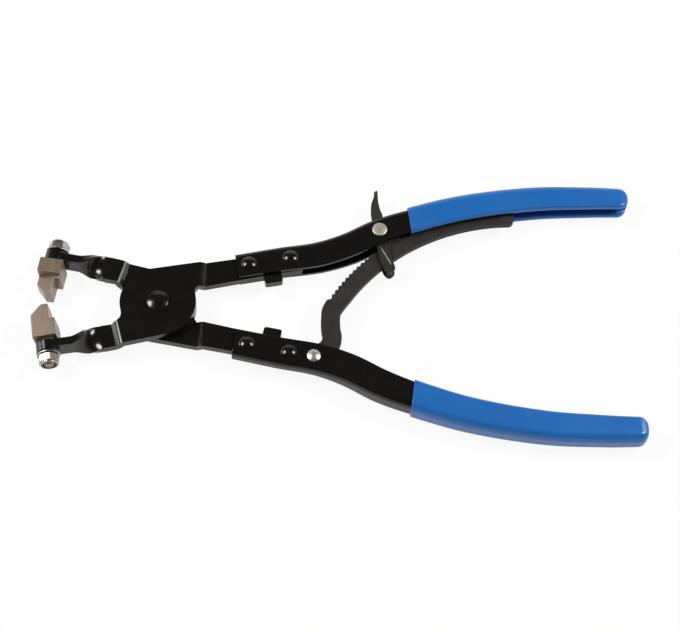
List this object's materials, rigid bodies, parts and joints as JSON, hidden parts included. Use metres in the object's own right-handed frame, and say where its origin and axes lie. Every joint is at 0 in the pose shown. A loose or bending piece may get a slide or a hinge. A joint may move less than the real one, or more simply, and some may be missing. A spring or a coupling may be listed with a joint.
{
  "type": "hose clamp pliers",
  "caption": "Locking pliers with two swivel jaws, channel handles in sleeve grips and a toothed ratchet bar with a release lever, for squeezing spring hose clamps.",
  "frame": {"origin": "middle of the tool's bounding box at rest", "axes": "+X from the jaws to the grips, +Y towards the handle that carries the release lever, +Z out of the front of the tool as it lies flat"},
  "size_m": [0.2535, 0.1218, 0.013],
  "materials": {
    "black_steel": "semi-gloss black oxide",
    "blue_vinyl": "glossy dipped vinyl",
    "bar_steel": "dark satin",
    "zinc_plate": "bright plated",
    "spring_steel": "drawn wire",
    "satin_nickel": "satin nickel plate",
    "nylon": "matt"
  },
  "bodies": {
    "front_half": {"front_jaw_plate": "black_steel", "upper_handle_channel": "black_steel", "upper_grip": "blue_vinyl", "upper_handle_rivet_1": "black_steel", "upper_handle_rivet_2": "black_steel", "main_pivot_rivet": "black_steel", "pawl_rivet": "zinc_plate", "pawl_spring": "spring_steel"},
    "rear_half": {"rear_jaw_plate": "black_steel", "lower_handle_channel": "black_steel", "lower_grip": "blue_vinyl", "lower_handle_rivet_1": "black_steel", "lower_handle_rivet_2": "black_steel", "ratchet_bar_rivet": "zinc_plate"},
    "bar": {"ratchet_bar": "bar_steel"},
    "pawl": {"pawl_lever": "bar_steel"},
    "lower_jaw": {"lower_jaw_head": "satin_nickel", "lower_jaw_washer": "zinc_plate", "lower_jaw_nut": "zinc_plate", "lower_jaw_nut_insert": "nylon"},
    "upper_jaw": {"upper_jaw_head": "satin_nickel", "upper_jaw_washer": "zinc_plate", "upper_jaw_nut": "zinc_plate", "upper_jaw_nut_insert": "nylon"}
  },
  "joints": [
    {"name": "main_pivot", "type": "hinge", "parent": "front_half", "child": "rear_half", "pos_m": [-0.07487, 0, 0], "axis": [0, 0, 1], "range_deg": [-12, 3.9]},
    {"name": "bar_pivot", "type": "hinge", "parent": "rear_half", "child": "bar", "pos_m": [-0.00957, -0.0242, 0], "axis": [0, 0, 1], "range_deg": [-6.1, 18.7]},
    {"name": "pawl_pivot", "type": "hinge", "parent": "front_half", "child": "pawl", "pos_m": [0.01813, 0.0362, 0], "axis": [0, 0, 1], "range_deg": [0, 12], "stiffness_Nm_per_rad": 0.02, "springref_deg": -11.46},
    {"name": "lower_jaw_swivel", "type": "hinge", "parent": "front_half", "child": "lower_jaw", "pos_m": [-0.11917, -0.02095, 0], "axis": [-0.1564, 0.9877, 0], "continuous": true},
    {"name": "upper_jaw_swivel", "type": "hinge", "parent": "rear_half", "child": "upper_jaw", "pos_m": [-0.11917, 0.02095, 0], "axis": [-0.1564, -0.9877, 0], "continuous": true}
  ],
  "couplings": [
    {"joint": "bar_pivot", "follows": "main_pivot", "ratio": -1.55}
  ]
}
